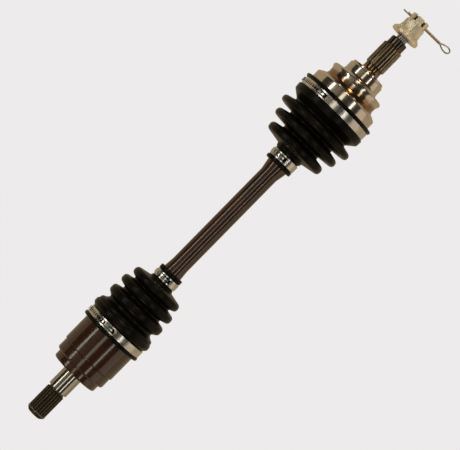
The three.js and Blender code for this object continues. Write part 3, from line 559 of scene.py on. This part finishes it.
def zone(x):
    """Where a place along the axle is, from 0 at the bell's mouth to 1 at the thread's end."""
    return (x - bell_mouth) / (hub_end - bell_mouth)


SILVER = (0.66, 0.62, 0.54, 1)
# The darker brown on the bell's chamfer is painted shade.
CHAMFER_PAINTED_SHADE = (0.30, 0.16, 0.07, 1)
# The orange on the bell's waist is a painted warm reflection.
WAIST_PAINTED_REFLECTION = (0.34, 0.22, 0.13, 1)
# The orange-brown on the neck between the face and the spline is a painted warm reflection.
NECK_PAINTED_REFLECTION = (0.36, 0.24, 0.13, 1)
OLIVE = (0.075, 0.055, 0.03, 1)
DARK = (0.07, 0.062, 0.055, 1)
# Colour along the forging: bare silver, with painted shade on the bell's chamfer and painted warm
# reflections on its waist and on the neck by the face.
base = zones.node("ShaderNodeValToRGB", {"stops": [
    (0.0, SILVER),
    (zone(bell_mouth + 28), SILVER),
    (zone(bell_mouth + 30), CHAMFER_PAINTED_SHADE),
    (zone(bell_mouth + 36), WAIST_PAINTED_REFLECTION),
    (zone(bell_mouth + 39.5), SILVER),
    (zone(face_x - 1), SILVER),
    (zone(face_x + 1.5), NECK_PAINTED_REFLECTION),
    (zone(spline_x), OLIVE),
    (zone(plain_x), OLIVE),
    (zone(plain_x + 1), DARK),
    (zone(relief_x), DARK),
    (zone(relief_x + 1), (0.33, 0.34, 0.35, 1)),
    (1.0, (0.36, 0.34, 0.28, 1)),
]}, {0: zones})
past_teeth = zones.over(zone(plain_x - 0.5), zone(plain_x))
toothed = zones.over(zone(spline_x), zone(spline_x + 0.5)) * (1 - past_teeth)
crest = toothed * radius_of(side, up).over(11.1 * MM, 11.75 * MM)
color = mix(stain.over(0.48, 0.8) * 0.55, base, (0.32, 0.22, 0.13, 1))
finish_material(forged, {
    "Base Color": mix(crest * (0.4 + 0.4 * stain), color, (0.50, 0.42, 0.30, 1)),
    "Metallic": 0.95,
    "Roughness": 0.08 + 0.08 * marks + 0.06 * rings + 0.16 * toothed,
    "Normal": bump(marks * 0.4 + rings, 0.008 * MM),
})
place_piece(outer_housing, forged, "hub_end", ["outer_housing"])


# ---- Hub nut ----
# A flanged hexagon nut with a slotted castle end for the cotter pin, forged and tapped, and plated
# in pale yellow zinc.
ACROSS_FLATS = 24.0
FLANGE = 16.8
CASTLE = 10.9
NUT_BORE = 8.4
nut_start, nut_end = (corner.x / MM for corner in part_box("hub_nut"))
HEX_CORNER = ACROSS_FLATS / math.sqrt(3)
hex_x = nut_start + 3.6
flange_x = nut_start - 3.0
hex_end_x = nut_start + 15.0


def apply(piece, kind, **settings):
    """Adds a modifier with its settings and applies it."""
    bpy.ops.object.select_all(action="DESELECT")
    piece.select_set(True)
    bpy.context.view_layer.objects.active = piece
    modifier = piece.modifiers.new(kind.lower(), kind)
    for name, value in settings.items():
        setattr(modifier, name, value)
    bpy.ops.object.modifier_apply(modifier=modifier.name)


def combine(piece, tool, operation):
    """Joins, cuts or keeps what two solids share, and removes the tool."""
    apply(piece, "BOOLEAN", object=tool, operation=operation, solver="EXACT")
    bpy.data.objects.remove(tool)


def apply_place(piece):
    bpy.ops.object.select_all(action="DESELECT")
    piece.select_set(True)
    bpy.context.view_layer.objects.active = piece
    bpy.ops.object.transform_apply(location=True, rotation=True, scale=True)


nut = turn("castle_nut", rounded([
    (flange_x, NUT_BORE),
    (flange_x, 15.4, 0.3),
    (flange_x + 0.7, FLANGE, 0.6),
    (flange_x + 4.0, FLANGE, 0.9),
    (hex_x + 1.0, 13.0, 1.0),
    (hex_end_x - 0.4, CASTLE + 0.3, 0.2),
    (hex_end_x + 0.3, CASTLE, 0.3),
    (nut_end - 0.9, CASTLE, 0.6),
    (nut_end, CASTLE - 0.9, 0.3),
    (nut_end, NUT_BORE, 0.3),
    (flange_x, NUT_BORE),
]), steps=96)
hexagon = turn("hexagon", rounded([
    (hex_x, 0), (hex_x, HEX_CORNER), (hex_end_x, HEX_CORNER), (hex_end_x, 0),
]), steps=6)
chamfer = turn("chamfer", rounded([
    (hex_x - 1, 0),
    (hex_x - 1, 15.0),
    (hex_end_x - 1.1, 15.0),
    (hex_end_x + 1, 10.6),
    (hex_end_x + 1, 0),
]), steps=72)
combine(hexagon, chamfer, "INTERSECT")
bore = turn("bore", rounded([
    (hex_x - 2, 0), (hex_x - 2, NUT_BORE + 0.1), (hex_end_x + 2, NUT_BORE + 0.1), (hex_end_x + 2, 0),
]), steps=72)
combine(hexagon, bore, "DIFFERENCE")
combine(nut, hexagon, "UNION")
pin_x = sum(corner.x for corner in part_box("cotter_pin")) / 2 / MM
SLOT_WIDTH = 3.6
SLOT_LENGTH = 10
SLOT_FLOOR = 2.2
for turn_index in range(3):
    bpy.ops.object.select_all(action="DESELECT")
    bpy.ops.mesh.primitive_cube_add(
        size=MM, location=((pin_x - SLOT_FLOOR + SLOT_LENGTH / 2) * MM, 0, 0),
        scale=(SLOT_LENGTH, 3 * ACROSS_FLATS, SLOT_WIDTH),
        rotation=(math.radians(60 * turn_index), 0, 0),
    )
    slot_cut = bpy.context.object
    apply_place(slot_cut)
    apply(slot_cut, "BEVEL", width=0.7 * MM, segments=3, limit_method="ANGLE")
    combine(nut, slot_cut, "DIFFERENCE")
apply(nut, "BEVEL", width=0.18 * MM, segments=2, limit_method="ANGLE", angle_limit=math.radians(35))

zinc, place = start_material("yellow_zinc")
blush = noise(place, 150, 4)
grain = noise(place, 1600, 3)
finish_material(zinc, {
    "Base Color": mix(blush.over(0.3, 0.72), (0.98, 0.91, 0.70, 1), (0.92, 0.87, 0.70, 1)),
    "Metallic": 0.82,
    "Roughness": 0.34 + 0.12 * blush + 0.06 * grain,
    "Normal": bump(grain * 0.4 + blush, 0.008 * MM),
})
place_piece(nut, zinc, "hub_end", ["hub_nut"])


# ---- Cotter pin ----
# A half-round wire folded back on itself around an eye. Its two legs pass through the nut's slots
# and the stud's hole, so that the nut can't turn.
PIN_WIRE = 1.45
pin_low, pin_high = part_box("cotter_pin")
EYE_START = -33.2
EYE_HALF = 2.5
SHORT_LEG = 15.2
eye_end = pin_low.y / MM + PIN_WIRE
long_leg = pin_high.y / MM
LEG_GAP = 0.12
EYE_STEPS = 40
path = [(-LEG_GAP, long_leg - step * (long_leg - EYE_START) / 12) for step in range(12)]
for step in range(EYE_STEPS + 1):
    turned_by = math.pi * step / EYE_STEPS
    pear = math.sin(turned_by) ** 2 * math.cos(turned_by) * 1.5 * math.sqrt(3)
    path.append((
        -(LEG_GAP * math.cos(turned_by) + (EYE_HALF - LEG_GAP) * pear),
        EYE_START - (EYE_START - eye_end) * math.sin(turned_by) ** 2,
    ))
path += [(LEG_GAP, EYE_START + step * (SHORT_LEG - EYE_START) / 10) for step in range(1, 11)]

section_line = bpy.data.curves.new("pin_section", "CURVE")
section = section_line.splines.new("POLY")
half_round = [
    (PIN_WIRE * math.sin(math.radians(angle)), PIN_WIRE * math.cos(math.radians(angle)))
    for angle in range(0, 181, 20)
]
section.points.add(len(half_round) - 1)
for point, (across, high) in zip(section.points, half_round):
    point.co = (across, high, 0, 1)
section.use_cyclic_u = True
section_object = bpy.data.objects.new("pin_section", section_line)
bpy.context.collection.objects.link(section_object)
pin_line = bpy.data.curves.new("pin_line", "CURVE")
pin_line.dimensions = "3D"
pin_line.twist_mode = "Z_UP"
pin_line.bevel_mode = "OBJECT"
pin_line.bevel_object = section_object
pin_line.use_fill_caps = True
wire = pin_line.splines.new("POLY")
wire.points.add(len(path) - 1)
for point, (x, y) in zip(wire.points, path):
    point.co = ((pin_x + x) * MM, y * MM, 0, 1)
section_object.scale = (MM, MM, MM)
pin = bpy.data.objects.new("split_pin", pin_line)
bpy.context.collection.objects.link(pin)
bpy.ops.object.select_all(action="DESELECT")
pin.select_set(True)
bpy.context.view_layer.objects.active = pin
bpy.ops.object.convert(target="MESH")
bpy.data.objects.remove(section_object)
bpy.ops.object.mode_set(mode="EDIT")
bpy.ops.mesh.select_all(action="SELECT")
bpy.ops.mesh.remove_doubles(threshold=1e-6)
bpy.ops.mesh.normals_make_consistent(inside=False)
bpy.ops.object.mode_set(mode="OBJECT")

pin_steel, place = start_material("pin_steel")
drawn = noise(place, 900, 3, stretch=(1, 0.1, 1))
dull = noise(place, 240, 3)
finish_material(pin_steel, {
    "Base Color": mix(dull, (0.34, 0.31, 0.23, 1), (0.58, 0.54, 0.43, 1)),
    "Metallic": 0.9,
    "Roughness": 0.3 + 0.2 * dull,
    "Normal": bump(drawn, 0.002 * MM),
})
place_piece(pin, pin_steel, "hub_end", ["cotter_pin"])


# ---- Boots ----
# Each boot is a bellows of black rubber, moulded in one piece, with a thick seat at both ends
# under its clamps. It is made whole and then cut square across into rings.
rubber, place = start_material("boot_rubber")
bloom = noise(place, 45, 4)
pores = noise(place, 1500, 3)
scuff = noise(place, 320, 5).over(0.58, 0.8)
tone = mix(bloom.over(0.35, 0.75), (0.0032, 0.0029, 0.0023, 1), (0.008, 0.0072, 0.0055, 1))
finish_material(rubber, {
    "Base Color": mix(scuff * 0.15, tone, (0.04, 0.033, 0.025, 1)),
    "Roughness": 0.24 + 0.14 * bloom + 0.1 * scuff,
    "IOR": 1.21,
    "Normal": bump(pores * 0.5 + bloom * 0.5, 0.012 * MM),
})


def divide_boot(whole, name, replaced, spans):
    """Cuts a whole boot square across into closed rings; the two bodies, start and end in each span are not
    used.
    """
    for index, (low, high, first, last, start, end) in enumerate(spans):
        piece = whole.copy()
        piece.data = whole.data.copy()
        piece.name = f"{name}_{index + 1}"
        piece.data.name = piece.name
        bpy.context.collection.objects.link(piece)
        bpy.ops.object.select_all(action="DESELECT")
        piece.select_set(True)
        bpy.context.view_layer.objects.active = piece
        bpy.ops.object.mode_set(mode="EDIT")
        for cut, clear_low in ((low, True), (high, False)):
            if cut is None:
                continue
            bpy.ops.mesh.select_all(action="SELECT")
            bpy.ops.mesh.bisect(
                plane_co=(cut * MM, 0, 0), plane_no=(1, 0, 0), use_fill=False,
                clear_inner=clear_low, clear_outer=not clear_low, threshold=1e-7,
            )
            bpy.ops.object.mode_set(mode="OBJECT")
            for edge in piece.data.edges:
                ends = [piece.data.vertices[i].co.x for i in edge.vertices]
                edge.select = all(abs(x - cut * MM) < 1e-6 for x in ends)
            bpy.ops.object.mode_set(mode="EDIT")
            bpy.ops.mesh.bridge_edge_loops()
        bpy.ops.mesh.select_all(action="SELECT")
        bpy.ops.mesh.normals_make_consistent(inside=False)
        bpy.ops.object.mode_set(mode="OBJECT")
        place_piece(piece, rubber, None, [replaced])
        start * MM
        end * MM
        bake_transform(piece)
    bpy.data.objects.remove(whole)


WALL = 1.8


def inner_side(corners):
    """The same folds one wall's thickness further in, from the last back to the first."""
    shifted = []
    for i in range(1, len(corners) - 1):
        x, r, radius = corners[i]
        here = Vector((x, r))
        back = (here - Vector(corners[i - 1][:2])).normalized()
        ahead = (Vector(corners[i + 1][:2]) - here).normalized()
        inward = Vector((back.y + ahead.y, -back.x - ahead.x)) / (1 + back.dot(ahead))
        crest = back.x * ahead.y - back.y * ahead.x < 0
        moved = here + inward * WALL
        shifted.append((moved.x, moved.y, max(0.6, radius - WALL) if crest else radius + WALL))
    return shifted[::-1]


outer_seat_x = bell_mouth + 4.4
outer_small_x = bell_mouth - 71.3
OUTER_BORE = 40.6
OUTER_SMALL_BORE = 12.9
outer_folds = [
    (outer_small_x + 11.2, 16.4, 1.0),
    (bell_mouth - 57.4, 17.4, 1.6),
    (bell_mouth - 53.8, 37.0, 4.2),
    (bell_mouth - 45.2, 37.0, 4.2),
    (bell_mouth - 42.6, 24.4, 1.2),
    (bell_mouth - 39.6, 24.4, 1.2),
    (bell_mouth - 37.8, 42.6, 3.9),
    (bell_mouth - 30.2, 42.6, 4.2),
    (bell_mouth - 27.0, 30.0, 1.2),
    (bell_mouth - 24.4, 30.0, 1.2),
    (bell_mouth - 22.8, 47.35, 3.6),
    (bell_mouth - 16.0, 47.35, 3.6),
    (bell_mouth - 12.8, 35.6, 1.2),
    (bell_mouth - 10.8, 35.6, 1.6),
    (bell_mouth - 3.4, 44.8, 2.4),
    (outer_seat_x - 0.6, 45.3, 0.9),
]
outer_boot = turn("outer_boot_whole", rounded([
    (outer_small_x - 5, OUTER_SMALL_BORE),
    (outer_small_x - 5, 16.6, 1.2),
    (outer_small_x - 0.7, 16.6, 0.8),
    (outer_small_x - 0.4, 15.0, 0.2),
    (outer_small_x + 9.4, 15.0, 0.6),
    *outer_folds,
    (outer_seat_x - 0.4, 43.1, 0.2),
    (outer_seat_x + 8.8, 43.1, 0.2),
    (outer_seat_x + 9.0, 44.6, 0.9),
    (outer_seat_x + 11.2, 46.0, 1.2),
    (outer_seat_x + 12.6, 45.0, 1.2),
    (outer_seat_x + 12.6, OUTER_BORE, 0.4),
    (bell_mouth - 1, OUTER_BORE, 1),
    *inner_side(outer_folds[:-1]),
    (outer_small_x + 9, OUTER_SMALL_BORE, 1),
    (outer_small_x - 5, OUTER_SMALL_BORE),
], steps=6), steps=120)
outer_cuts = [bell_mouth - 41.1, bell_mouth - 25.7, bell_mouth - 8.0]
divide_boot(outer_boot, "outer_boot_bellows", "outer_boot", [
    (None, outer_cuts[0], "shaft", "outer_lead_ball", bell_mouth - 61, outer_cuts[0]),
    (outer_cuts[0], outer_cuts[1], "outer_lead_ball", "outer_cage_set", outer_cuts[0], outer_cuts[1]),
    (outer_cuts[1], outer_cuts[2], "outer_cage_set", "outer_tail_ball", outer_cuts[1], outer_cuts[2]),
    (outer_cuts[2], None, "outer_tail_ball", "hub_end", outer_cuts[2], outer_seat_x),
])

inner_seat_x = inner_mouth - 9.1
inner_small_x = inner_mouth + 67.5
INNER_BORE = 33.2
INNER_SMALL_BORE = 11.6
inner_folds = [
    (inner_mouth + 1.0, 36.4, 1.0),
    (inner_mouth + 3.2, 38.3, 2.0),
    (inner_mouth + 7.4, 38.3, 2.2),
    (inner_mouth + 9.4, 36.8, 0.6),
    (inner_mouth + 12.6, 36.0, 1.8),
    (inner_mouth + 14.8, 31.8, 1.0),
    (inner_mouth + 16.6, 29.8, 1.2),
    (inner_mouth + 19.0, 29.8, 1.2),
    (inner_mouth + 23.0, 35.8, 4.0),
    (inner_mouth + 31.0, 35.8, 4.0),
    (inner_mouth + 33.4, 26.0, 1.2),
    (inner_mouth + 35.8, 26.0, 1.2),
    (inner_mouth + 38.4, 34.9, 3.9),
    (inner_mouth + 46.4, 34.9, 4.0),
    (inner_mouth + 48.8, 24.8, 1.2),
    (inner_mouth + 50.6, 24.8, 1.2),
    (inner_mouth + 53.0, 31.3, 4.0),
    (inner_mouth + 60.6, 31.3, 5.0),
    (inner_mouth + 64.0, 15.0, 2.2),
    (inner_small_x - 1.2, 14.3, 0.8),
]
inner_boot = turn("inner_boot_whole", rounded([
    (inner_seat_x - 4.2, INNER_BORE),
    (inner_seat_x - 4.2, 36.8, 1.0),
    (inner_seat_x - 3.0, 37.4, 1.0),
    (inner_seat_x - 0.6, 37.3, 0.8),
    (inner_seat_x - 0.4, 35.0, 0.2),
    (inner_seat_x + 8.6, 35.0, 0.4),
    *inner_folds,
    (inner_small_x - 0.4, 13.3, 0.3),
    (inner_small_x + 8.3, 13.3, 0.3),
    (inner_small_x + 8.6, 14.6, 0.6),
    (inner_small_x + 13.4, 14.6, 0.9),
    (inner_small_x + 13.4, INNER_SMALL_BORE, 0.4),
    (inner_small_x - 3, INNER_SMALL_BORE, 1),
    *inner_side(inner_folds[1:-1]),
    (inner_mouth + 0.8, INNER_BORE, 0.8),
    (inner_seat_x - 4.2, INNER_BORE),
], steps=6), steps=112)
inner_cuts = [inner_mouth + 13.0, inner_mouth + 17.8, inner_mouth + 34.6, inner_mouth + 49.7]
divide_boot(inner_boot, "inner_boot_bellows", "inner_boot", [
    (None, inner_cuts[0], "gearbox_end", "inner_boot_body", inner_mouth, inner_cuts[0]),
    (inner_cuts[0], inner_cuts[1], "inner_boot_body", "inner_tail_ball", inner_cuts[0], inner_cuts[1]),
    (inner_cuts[1], inner_cuts[2], "inner_tail_ball", "inner_cage_set", inner_cuts[1], inner_cuts[2]),
    (inner_cuts[2], inner_cuts[3], "inner_cage_set", "inner_lead_ball", inner_cuts[2], inner_cuts[3]),
    (inner_cuts[3], None, "inner_lead_ball", "shaft", inner_cuts[3], inner_mouth + 62.0),
])


# ---- Boot clamps ----
# Four bands of bright rolled strip, each wrapped once round its seat, pulled tight and hooked, with
# a dab of teal paint. The lapped end has a window for the hook, and the ear is folded over. The big
# clamps have a row of punched slots too.
LAP = 0.6
EDGE = 0.25
GROOVE = 0.3
STRIP = 0.75
LAP_SWEEP = 95
WINDOW = 6.4
PUNCHED_SLOT = 1.9
EAR_LENGTH = 5.5
EAR_HEIGHT = 1.1
DAB = 1.6
TEAL = (0.0, 0.2, 0.16, 1)


def band_section(x, width, inner, outer):
    return rounded([
        (x, inner),
        (x, outer, EDGE),
        (x + width, outer, EDGE),
        (x + width, inner, 0.1),
        (x, inner),
    ], steps=2)


def join(pieces):
    bpy.ops.object.select_all(action="DESELECT")
    for piece in pieces:
        piece.select_set(True)
    bpy.context.view_layer.objects.active = pieces[0]
    bpy.ops.object.join()
    return pieces[0]


def clamp(node, name, body, window, lap_to, slots, ear, dab_shift):
    """One clamp on its seat; window, lap_to, slots and ear are degrees from the top towards +Y."""
    low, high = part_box(node)
    x, width = low.x / MM, (high.x - low.x) / MM
    inner = -low.z / MM * math.cos(math.pi / 24) - 0.9
    outer = inner + STRIP
    wrap = turn(name, rounded([
        (x, inner),
        (x, outer, EDGE),
        (x + width * 0.20, outer),
        (x + width * 0.26, outer - GROOVE),
        (x + width * 0.32, outer),
        (x + width * 0.68, outer),
        (x + width * 0.74, outer - GROOVE),
        (x + width * 0.80, outer),
        (x + width, outer, EDGE),
        (x + width, inner, 0.1),
        (x, inner),
    ], steps=2), steps=144)
    lap_section = band_section(x, width, outer - GROOVE - 0.1, outer + LAP)
    lap = turn("lap", lap_section, 60, window - lap_to, LAP_SWEEP)
    window_long = math.degrees(WINDOW / outer)
    openings = [(0.22, 0.56, window - window_long / 2, window_long)]
    openings += [(0.30, 0.40, angle, math.degrees(PUNCHED_SLOT / outer)) for angle in slots]
    for from_edge, wide, angle, long in openings:
        cutter = turn("cutter", rounded([
            (x + width * from_edge, outer - 1), (x + width * from_edge, outer + 3),
            (x + width * (from_edge + wide), outer + 3), (x + width * (from_edge + wide), outer - 1),
            (x + width * from_edge, outer - 1),
        ]), 8, angle, long)
        apply(wrap, "BOOLEAN", object=cutter, operation="DIFFERENCE", solver="EXACT")
        combine(lap, cutter, "DIFFERENCE")
    parts = [wrap, lap]
    parts.append(turn("tab", band_section(
        x + width * 0.36, width * 0.28, outer - 0.6, outer + LAP + 0.1,
    ), 8, window - window_long * 0.25, window_long * 0.75))
    parts.append(turn("ear", band_section(
        x + width * 0.2, width * 0.6, outer + LAP - 0.1, outer + LAP + EAR_HEIGHT,
    ), 12, ear, math.degrees(EAR_LENGTH / outer)))
    made = join(parts)
    steel, place = start_material(f"{name}_steel")
    brushed = noise(place, 1400, 4, stretch=(1, 0.05, 0.05))
    smear = noise(place, 210, 4)
    dab_angle = math.radians(window + dab_shift)
    dab_at = Vector((x + width * 0.6, outer * math.sin(dab_angle), outer * math.cos(dab_angle))) * MM
    away = place.node("ShaderNodeVectorMath", {"operation": "DISTANCE"}, {0: place, 1: dab_at}, out="Value")
    dab = 1 - (away + (noise(place, 700, 2) - 0.5) * DAB * MM).over(DAB * MM, (DAB + 0.4) * MM)
    metal = mix(smear.over(0.3, 0.7), (0.55, 0.54, 0.51, 1), (0.74, 0.73, 0.70, 1))
    finish_material(steel, {
        "Base Color": mix(dab, metal, TEAL),
        "Metallic": 1 - dab * 0.9,
        "Roughness": 0.14 + 0.12 * smear + 0.06 * brushed + 0.2 * dab,
        "Normal": bump(brushed * 0.5 + smear, 0.008 * MM),
    })
    place_piece(made, steel, body, [node])


clamp("outer_boot_big_clamp", "outer_big_band", "hub_end", 31, 17, range(38, 84, 5), 88, -3)
clamp("inner_boot_big_clamp", "inner_big_band", "gearbox_end", 14, 22, range(25, 74, 6), 80, -3)
clamp("outer_boot_small_clamp", "outer_small_band", "shaft", 24, 40, (), 70, -6)
clamp("inner_boot_small_clamp", "inner_small_band", "shaft", 15, 40, (), 70, -4)


# ---- Races and cages inside the joints ----
# Hardened steel, ground where the balls run, and dark with grease. The imported shapes are right,
# so they only get their finish.
joint_steel, place = start_material("joint_steel")
smut = noise(place, 160, 4)
cut_marks = noise(place, 1800, 3, stretch=(1, 0.05, 0.05))
finish_material(joint_steel, {
    "Base Color": mix(smut.over(0.3, 0.75), (0.16, 0.155, 0.15, 1), (0.38, 0.37, 0.36, 1)),
    "Metallic": 1.0,
    "Roughness": 0.25 + 0.2 * smut,
    "Normal": bump(cut_marks, 0.02 * MM),
})


def finish_node(node, material):
    """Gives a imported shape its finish."""
    node_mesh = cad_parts[node].data
    node_mesh.materials.clear()
    node_mesh.materials.append(material)


for node in ("inner_joint_inner_race", "outer_joint_inner_race", "inner_cage", "outer_cage"):
    finish_node(node, joint_steel)


# ---- Balls and snap rings inside the joints ----
# Six ground and polished balls run in each joint's tracks. The rings are spring steel, snapped
# into grooves in the bar's ends and in the barrel's mouth.
ball_steel, place = start_material("ball_steel")
film = noise(place, 220, 3)
finish_material(ball_steel, {
    "Base Color": mix(film, (0.55, 0.55, 0.55, 1), (0.74, 0.73, 0.71, 1)),
    "Metallic": 1.0,
    "Roughness": 0.08 + 0.14 * film,
    "Normal": bump(film, 0.01 * MM),
})
for joint in ("inner", "outer"):
    for number in range(1, 7):
        finish_node(f"{joint}_ball_{number}", ball_steel)
for node in ("inner_race_circlip", "inner_race_stop_ring", "outer_race_circlip", "stopper_ring"):
    finish_node(node, spring_steel)
